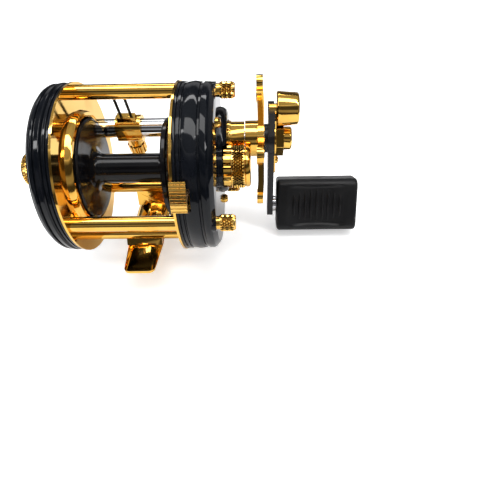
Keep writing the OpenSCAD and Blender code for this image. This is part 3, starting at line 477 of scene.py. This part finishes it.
# ---- handle drive -------------------------------------------------------------------------
# A steel shaft through a gold sleeve in the right cover, with a brass gear held between fibre
# washers by the star wheel, a ratchet, and a small pawl that stops it turning back.
machined("shaft_sleeve", gold, edge=0.12)
machined("drive_shaft", steel, edge=0)
machined("main_gear", brass, edge=0)
fibre = finish("drag_fibre", (0.2, 0.12, 0.07), (0.14, 0.08, 0.05), (0.25, 0.16, 0.1), 0.7, 0.2, bump=0.3)
machined("drag_washers", fibre, edge=0)
machined("ratchet_wheel", steel, edge=0)
machined("reverse_stop", steel, edge=0)

# ---- star wheel and handle arm ------------------------------------------------------------
# A pressed brass star with five bent arms, gold plated, that sets the drag. The satin black
# arm is held by a gold nut, and a gold weight balances the knob.
machined("star_wheel", gold, edge=0.25)
machined("spring_washer", satin_black, edge=0.1)
machined("handle_arm", satin_black, edge=0.3)
for part in ("handle_nut", "lock_plate", "lock_screw", "counterweight"):
    machined(part, gold, edge=0.15)

# ---- handle knob --------------------------------------------------------------------------
# A moulded matt black grip that turns on a steel pin. Both faces have a hollow for the thumb,
# crossed by short ribs that are widest in the middle.
grip = finish("black_grip", (0.004, 0.004, 0.0045), (0.006, 0.006, 0.0065), (0.012, 0.012, 0.013), 0.4, 0.12,
              bump=0.25, scratch_size=2600.0, specular=0.25)
machined("knob_pin", steel, edge=0)

lean = math.radians(-26)
knob_low, knob_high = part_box("handle_knob")
knob_0 = knob_low[0] / MM
knob_1 = knob_high[0] / MM
knob_mid = (knob_0 + knob_1) / 2
knob_y = (knob_low[1] + knob_high[1]) / 2 / MM
knob_z = (knob_low[2] + knob_high[2]) / 2 / MM
knob_thick = 13.5
knob_wide = 22.5
half_t = knob_thick / 2
half_h = knob_wide / 2
corner = 3.0
hollow_r = 60.0
hollow_depth = 1.4


def hollow(x, h):
    """Depth of the thumb hollow, as far along the knob and at a height on its face."""
    arc = math.sqrt(hollow_r ** 2 - min(hollow_r, abs(x - knob_mid)) ** 2) - (hollow_r - hollow_depth)
    fade = min(1.0, max(0.0, (half_h - 2.2 - abs(h)) / 1.2))
    return max(0.0, arc) * fade * fade * (3 - 2 * fade)


def knob_section(x, inset):
    """Points round the knob's section at a place along it, drawn in by an inset at its ends."""
    w, h, r = half_t - inset, half_h - inset, corner - inset * 0.5
    points = []
    for sy, sz, start in ((1, 1, 0), (-1, 1, 90), (-1, -1, 180), (1, -1, 270)):
        for k in range(9):
            a = math.radians(start + k * 11.25)
            points.append((sy * (w - r) + r * math.cos(a), sz * (h - r) + r * math.sin(a)))
        run_from = points[-1]
        across_top = start in (0, 180)
        steps = 10 if across_top else 26
        run_to = (-run_from[0], run_from[1]) if across_top else (run_from[0], -run_from[1])
        for k in range(1, steps):
            t = k / steps
            points.append((run_from[0] + (run_to[0] - run_from[0]) * t,
                           run_from[1] + (run_to[1] - run_from[1]) * t))
    out = []
    for w_at, h_at in points:
        if abs(w_at) > half_t - 1.5:
            w_at -= math.copysign(hollow(x, h_at), w_at)
        out.append((w_at, h_at))
    return out


def leaned(x, w, h):
    """A point of the knob, turned with it round its pin."""
    return Vector((x, knob_y + w * math.cos(lean) - h * math.sin(lean),
                   knob_z + w * math.sin(lean) + h * math.cos(lean))) * MM


knob_shape = bmesh.new()
stations = [(knob_0, 1.3), (knob_0 + 0.15, 0.7), (knob_0 + 0.5, 0.25), (knob_0 + 1.1, 0.0)]
stations += [(knob_0 + 1.1 + (knob_1 - knob_0 - 2.2) * k / 60, 0.0) for k in range(1, 60)]
stations += [(knob_1 - 1.1, 0.0), (knob_1 - 0.5, 0.25), (knob_1 - 0.15, 0.7), (knob_1, 1.3)]
knob_rings = [[knob_shape.verts.new(leaned(x, w, h)) for w, h in knob_section(x, inset)]
              for x, inset in stations]
for ring_a, ring_b in zip(knob_rings, knob_rings[1:]):
    for k in range(len(ring_a)):
        n = (k + 1) % len(ring_a)
        knob_shape.faces.new([ring_a[k], ring_a[n], ring_b[n], ring_b[k]])
knob_shape.faces.new(knob_rings[0])
knob_shape.faces.new(knob_rings[-1])
bmesh.ops.recalc_face_normals(knob_shape, faces=knob_shape.faces)
knob_mesh = bpy.data.meshes.new("knob_body")
knob_shape.to_mesh(knob_mesh)
knob_shape.free()

# the ribs: a row of slim lens shapes sunk in each hollow, longest in the middle of the row
ribs, ribs_in, ribs_out = new_tree("grip_ribs", ["Pitch", "Width", "Height", "Depth"], ["Count"])
spots = node(ribs, "GeometryNodeMeshLine")
spread = node(ribs, "ShaderNodeCombineXYZ")
first_at = node(ribs, "ShaderNodeCombineXYZ")
ribs.links.new(ribs_in.outputs["Pitch"], spread.inputs["X"])
ribs.links.new(sums(ribs, "MULTIPLY", sums(ribs, "SUBTRACT", ribs_in.outputs["Count"], 1),
                    sums(ribs, "MULTIPLY", ribs_in.outputs["Pitch"], -0.5)), first_at.inputs["X"])
lens = node(ribs, "GeometryNodeMeshUVSphere", {"Segments": 20, "Rings": 14, "Radius": 0.5})
index = node(ribs, "GeometryNodeInputIndex")
off_middle = sums(ribs, "DIVIDE", sums(ribs, "MULTIPLY_ADD", index.outputs["Index"], 2.0, sums(
    ribs, "SUBTRACT", 1.0, ribs_in.outputs["Count"])), sums(ribs, "ADD", ribs_in.outputs["Count"], 1.5))
shorter = sums(ribs, "SQRT", sums(ribs, "SUBTRACT", 1.0, sums(ribs, "MULTIPLY", off_middle, off_middle)))
size = node(ribs, "ShaderNodeCombineXYZ")
ribs.links.new(ribs_in.outputs["Width"], size.inputs["X"])
ribs.links.new(ribs_in.outputs["Depth"], size.inputs["Y"])
ribs.links.new(sums(ribs, "MULTIPLY", ribs_in.outputs["Height"], shorter), size.inputs["Z"])
row_of = node(ribs, "GeometryNodeInstanceOnPoints")
wire(ribs, ((ribs_in, "Count"), (spots, "Count")), ((spread, "Vector"), (spots, "Offset")),
     ((first_at, "Vector"), (spots, "Start Location")), ((spots, "Mesh"), (row_of, "Points")),
     ((lens, "Mesh"), (row_of, "Instance")), ((size, "Vector"), (row_of, "Scale")))
end_tree(ribs, ribs_in, ribs_out, (row_of, "Instances"))
rib_rows = []
for side in (-1, 1):
    row_mesh = grown("ribs", ribs, {"Count": 9, "Pitch": 2.45 * MM, "Width": 1.5 * MM, "Height": 17 * MM,
                                    "Depth": 2.6 * MM, "Material": grip})
    for vertex in row_mesh.vertices:
        x, w, h = (vertex.co / MM)
        arc = hollow(knob_mid + x, 0)
        vertex.co = leaned(knob_mid + x, w + side * (half_t - arc - 0.62), h)
    rib_rows.append(row_mesh)
put("handle_knob_piece", joined(knob_mesh, *rib_rows), grip, "handle_knob", "handle_knob", sharp=40)

# ---- studio -------------------------------------------------------------------------------
# White paper under the lowest point, soft lamps above and to the sides, and a cloth fence all
# round whose dark and pale bands give polished metal something to reflect.
low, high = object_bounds()
floor_mesh = bpy.data.meshes.new("floor")
paper_half = 3
floor_mesh.from_pydata([(x * paper_half, y * paper_half, low[2])
                        for x, y in ((-1, -1), (1, -1), (1, 1), (-1, 1))], [], [(0, 1, 2, 3)])
floor = bpy.data.objects.new("floor", floor_mesh)
bpy.context.scene.collection.objects.link(floor)
paper = bpy.data.materials.new("paper")
paper.use_nodes = True
tree = paper.node_tree
matt = tree.nodes["Principled BSDF"]
matt.inputs["Base Color"].default_value = (0.9, 0.9, 0.9, 1)
matt.inputs["Roughness"].default_value = 0.9
glow = node(tree, "ShaderNodeEmission")
glow_level = node(tree, "ShaderNodeMapRange", {"To Min": 0.12, "To Max": 0.5})
lit = node(tree, "ShaderNodeAddShader")
rays = node(tree, "ShaderNodeLightPath")
seen = node(tree, "ShaderNodeMath", operation="MAXIMUM")
seen_or_through = node(tree, "ShaderNodeMath", operation="MAXIMUM")
blend = node(tree, "ShaderNodeMixShader")
wire(tree, ((rays, "Is Camera Ray"), (glow_level, "Value")), ((glow_level, "Result"), (glow, "Strength")),
     ((rays, "Is Camera Ray"), (seen, 0)), ((rays, "Is Glossy Ray"), (seen, 1)),
     ((seen, "Value"), (seen_or_through, 0)), ((rays, "Is Transmission Ray"), (seen_or_through, 1)),
     ((seen_or_through, "Value"), (blend, 0)), ((matt, "BSDF"), (blend, 1)), ((matt, "BSDF"), (lit, 0)),
     ((glow, "Emission"), (lit, 1)), ((lit, "Shader"), (blend, 2)),
     ((blend, "Shader"), (tree.nodes["Material Output"], "Surface")))
floor_mesh.materials.append(paper)

fence_r = 0.26
fence_top = 0.34
fence_mesh = bpy.data.meshes.new("fence")
posts = 64
fence_mesh.from_pydata(
    [(fence_r * math.cos(2 * math.pi * k / posts), fence_r * math.sin(2 * math.pi * k / posts), z)
     for z in (low[2], fence_top) for k in range(posts)], [],
    [(k, (k + 1) % posts, (k + 1) % posts + posts, k + posts) for k in range(posts)])
fence_cloth = bpy.data.materials.new("banded_cloth")
fence_cloth.use_nodes = True
tree = fence_cloth.node_tree
shader = tree.nodes["Principled BSDF"]
shader.inputs["Base Color"].default_value = (0.02, 0.018, 0.016, 1)
shader.inputs["Roughness"].default_value = 1.0
shader.inputs["Emission Strength"].default_value = 1.0
cloth_place = node(tree, "ShaderNodeTexCoord")
cloth_split = node(tree, "ShaderNodeSeparateXYZ")
cloth_height = node(tree, "ShaderNodeMath", operation="DIVIDE")
cloth_height.inputs[1].default_value = fence_top
bands = node(tree, "ShaderNodeValToRGB")
for place, level in ((0.0, 0.02), (0.12, 0.02), (0.2, 0.3), (0.34, 0.3), (0.42, 0.02), (0.72, 0.02), (0.9, 0.35)):
    stop = bands.color_ramp.elements.new(place)
    stop.color = (level, level, level * 1.04, 1)
bands.color_ramp.elements.remove(bands.color_ramp.elements[0])
wire(tree, ((cloth_place, "Object"), (cloth_split, "Vector")), ((cloth_split, "Z"), (cloth_height, 0)),
     ((cloth_height, "Value"), (bands, "Fac")), ((bands, "Color"), (shader, "Emission Color")))
fence_mesh.materials.append(fence_cloth)
fence = bpy.data.objects.new("fence", fence_mesh)
bpy.context.scene.collection.objects.link(fence)
fence.visible_camera = False
fence.visible_diffuse = False
fence.visible_shadow = False


def lamp(name, place, wide, tall, power, aim=(0.01, 0, 0.03)):
    """A soft oblong lamp that faces the reel."""
    data = bpy.data.lights.new(name, "AREA")
    data.shape = "RECTANGLE"
    data.size = wide
    data.size_y = tall
    data.energy = power
    thing = bpy.data.objects.new(name, data)
    thing.location = place
    thing.rotation_euler = (Vector(aim) - Vector(place)).to_track_quat("-Z", "Y").to_euler()
    bpy.context.scene.collection.objects.link(thing)


lamp("top_lamp", (0.0, -0.05, 0.8), 0.7, 0.3, 4.0)
lamp("left_lamp", (-0.24, -0.08, 0.22), 0.035, 0.34, 0.5)
lamp("right_lamp", (0.24, -0.1, 0.22), 0.035, 0.34, 0.5)
lamp("rear_lamp", (0.0, 0.24, 0.3), 0.4, 0.05, 0.4)
world = bpy.data.worlds.new("studio")
bpy.context.scene.world = world
world.use_nodes = True
tree = world.node_tree
sky_place = node(tree, "ShaderNodeTexCoord")
sky_split = node(tree, "ShaderNodeSeparateXYZ")
sky = node(tree, "ShaderNodeValToRGB")
sky.color_ramp.elements[0].position = 0.35
sky.color_ramp.elements[0].color = (0.02, 0.021, 0.023, 1)
sky.color_ramp.elements[1].position = 0.95
sky.color_ramp.elements[1].color = (0.5, 0.51, 0.53, 1)
sky_rays = node(tree, "ShaderNodeLightPath")
sky_seen = node(tree, "ShaderNodeMix", data_type="RGBA")
sky_seen.inputs["B"].default_value = (1, 1, 1, 1)
wire(tree, ((sky_place, "Generated"), (sky_split, "Vector")), ((sky_split, "Z"), (sky, "Fac")),
     ((sky, "Color"), (sky_seen, "A")), ((sky_rays, "Is Camera Ray"), (sky_seen, "Factor")),
     ((sky_seen, "Result"), (tree.nodes["Background"], "Color")))
tree.nodes["Background"].inputs["Strength"].default_value = 1.0

# ---- camera -------------------------------------------------------------------------------
# It stands behind the reel and above it, 34 degrees over the level of the spool.
camera_data = bpy.data.cameras.new("camera")
camera_data.lens = 31.45
camera_data.sensor_width = 36
camera_data.clip_start = 0.01
camera = bpy.data.objects.new("camera", camera_data)
bpy.context.scene.collection.objects.link(camera)
aim = (Matrix.Rotation(math.radians(-34), 4, "X") @ Matrix.Rotation(math.radians(0.75), 4, "Z")
       @ Matrix.Rotation(math.radians(-10.84), 4, "X") @ Matrix.Rotation(math.radians(0.79), 4, "Y")
       @ Matrix.Rotation(math.radians(90), 4, "X"))
camera.matrix_world = Matrix.Translation(Vector((44.3, -137.7, 92.9 + axis_h)) * MM) @ aim
bpy.context.scene.camera = camera
bpy.context.scene.view_settings.view_transform = "Standard"
